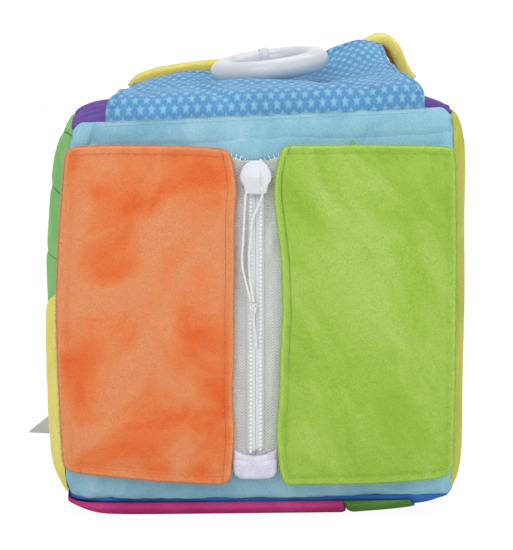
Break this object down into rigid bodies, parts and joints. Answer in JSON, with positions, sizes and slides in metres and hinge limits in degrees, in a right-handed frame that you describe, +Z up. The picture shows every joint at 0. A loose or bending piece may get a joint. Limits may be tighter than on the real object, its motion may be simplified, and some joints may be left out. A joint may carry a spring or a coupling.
{
  "type": "baby activity cube",
  "caption": "Soft stuffed fabric cube with a zip between door flaps, a wavy star flap holding a ring on a ribbon, and a padded handle strap on top.",
  "frame": {"origin": "on the floor, on the flat of the base under the middle of the cube", "axes": "+Z up, the zipped front faces -Y, +X is the right side seen from the front"},
  "size_m": [0.1665, 0.1652, 0.176],
  "materials": {
    "white_filling": "soft fibre block",
    "light_blue_velour": "short velour pile",
    "magenta_velour": "short velour pile",
    "green_velour": "short velour pile",
    "olive_yellow_velour": "short velour pile",
    "purple_velour": "short velour pile",
    "royal_blue_velour": "short velour pile",
    "yellow_velour": "short velour pile",
    "white_felt": "felt",
    "white_zip_tape": "twill weave",
    "white_nylon": "nylon monofilament",
    "lilac_plush": "plush",
    "white_lining": "plain weave",
    "white_plastic": "moulded, semi-gloss",
    "white_cord": "twisted cord",
    "orange_plush": "brushed plush",
    "lime_plush": "brushed plush",
    "star_print": "printed cotton",
    "clear_film": "crinkle film",
    "white_ring": "moulded, polished"
  },
  "bodies": {
    "cube": {"filling_block": "white_filling", "front_panel": "light_blue_velour", "back_panel": "magenta_velour", "left_panel": "green_velour", "right_panel": "olive_yellow_velour", "top_panel": "purple_velour", "bottom_panel": "royal_blue_velour", "left_patch": "yellow_velour", "base_patch_left": "magenta_velour", "base_patch_right": "green_velour", "leaf_patch": "green_velour", "zip_surround": "white_felt", "zip_tape_left": "white_zip_tape", "zip_tape_right": "white_zip_tape", "zip_coil_left": "white_nylon", "zip_coil_right": "white_nylon", "zip_tab": "lilac_plush", "pocket_lining": "white_lining"},
    "slider": {"zip_slider": "white_plastic", "pull_cord": "white_cord", "pull_cord_knot": "white_cord", "pull_cord_tail": "white_cord"},
    "left_door": {"left_flap": "orange_plush", "left_flap_lining": "white_felt"},
    "right_door": {"right_flap": "lime_plush", "right_flap_lining": "white_felt"},
    "top_flap": {"star_flap": "star_print", "star_flap_film": "clear_film", "star_flap_lining": "light_blue_velour"},
    "ribbon": {"ring_ribbon": "white_zip_tape"},
    "ring_body": {"ring": "white_ring"},
    "handle": {"handle_strap": "yellow_velour"},
    "label": {"side_label": "white_zip_tape"}
  },
  "joints": [
    {"name": "zip_slide", "type": "slide", "parent": "cube", "child": "slider", "axis": [0, 0, -1], "range_m": [0, 0.093]},
    {"name": "left_door_hinge", "type": "hinge", "parent": "cube", "child": "left_door", "pos_m": [-0.07182, -0.08081, 0.0766], "axis": [0, 0, -1], "range_deg": [0, 170]},
    {"name": "right_door_hinge", "type": "hinge", "parent": "cube", "child": "right_door", "pos_m": [0.07182, -0.08081, 0.0766], "axis": [0, 0, 1], "range_deg": [0, 170]},
    {"name": "top_flap_hinge", "type": "hinge", "parent": "cube", "child": "top_flap", "pos_m": [0, -0.0764, 0.1474], "axis": [0.9992, 0, 0.0408], "range_deg": [0, 170]},
    {"name": "ring_lift", "type": "hinge", "parent": "top_flap", "child": "ribbon", "pos_m": [0.00721, 0.00456, 0.15892], "axis": [-0.9907, 0, -0.1357], "range_deg": [0, 85]},
    {"name": "ring_turn", "type": "hinge", "parent": "ribbon", "child": "ring_body", "pos_m": [0.0072, -0.02222, 0.16409], "axis": [-0.1357, -0.0087, 0.9907], "continuous": true},
    {"name": "handle_swing", "type": "hinge", "parent": "cube", "child": "handle", "pos_m": [-0.044, 0.02678, 0.15343], "axis": [-0.9996, 0, -0.0282], "range_deg": [-12, 40]},
    {"name": "label_swing", "type": "hinge", "parent": "cube", "child": "label", "pos_m": [-0.07159, 0.07318, 0.0125], "axis": [0, 0, 1], "range_deg": [-35, 35]}
  ]
}
